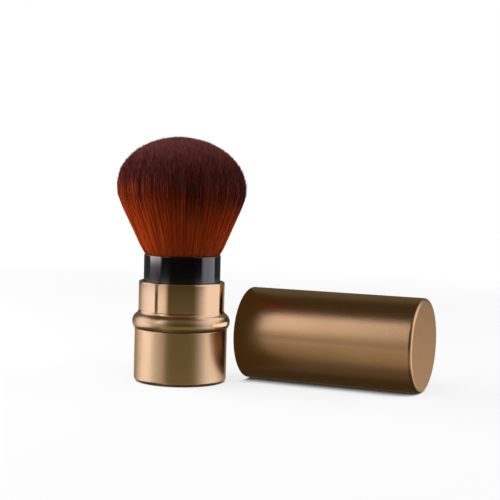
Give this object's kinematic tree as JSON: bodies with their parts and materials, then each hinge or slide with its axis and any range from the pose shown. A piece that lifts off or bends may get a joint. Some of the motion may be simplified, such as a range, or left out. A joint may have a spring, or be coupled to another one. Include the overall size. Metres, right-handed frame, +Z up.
{
  "type": "retractable makeup brush",
  "caption": "Free-standing retractable face brush: domed two-tone tuft, black ferrule, gold sleeve that slides up round the tuft, loose gold cap beside it.",
  "frame": {"origin": "middle of the brush's foot, on the table", "axes": "+Z up the brush's axis; +X along the axis of the cap, from its mouth to its closed end; +Y from the brush towards the cap's side of the table"},
  "size_m": [0.1068, 0.0596, 0.0874],
  "materials": {
    "gold_satin": "satin champagne anodised",
    "gold_gloss": "glossy champagne anodised",
    "black_moulded": "moulded, fine matt",
    "black_gloss": "high gloss",
    "bright_steel": "turned, plated",
    "soft_rubber": "matt silicone",
    "clear_resin": "cast resin",
    "binding_thread": "wound thread",
    "bristle_fibre": "soft fibre, orange root, burgundy tip"
  },
  "bodies": {
    "core": {"foot_disc": "gold_satin", "foot_plug": "black_moulded", "weight_slug": "bright_steel", "core_post": "black_moulded", "ferrule": "black_gloss", "friction_ring": "soft_rubber", "glue_bed": "clear_resin", "root_band": "binding_thread", "bristle_tuft": "bristle_fibre"},
    "sleeve": {"collar_shell": "gold_gloss", "barrel_shell": "gold_satin", "sleeve_liner": "black_moulded", "retaining_ring": "black_moulded", "mouth_bush": "black_moulded"},
    "cap": {"cap_shell": "gold_satin", "cap_liner": "black_moulded"}
  },
  "joints": [
    {"name": "sleeve_slide", "type": "slide", "parent": "core", "child": "sleeve", "axis": [0, 0, 1], "range_m": [0, 0.022], "deforming": ["bristle_tuft"]},
    {"name": "cap_pull", "type": "slide", "parent": "core", "child": "cap", "axis": [1, 0, 0], "range_m": [0, 0.1]}
  ]
}
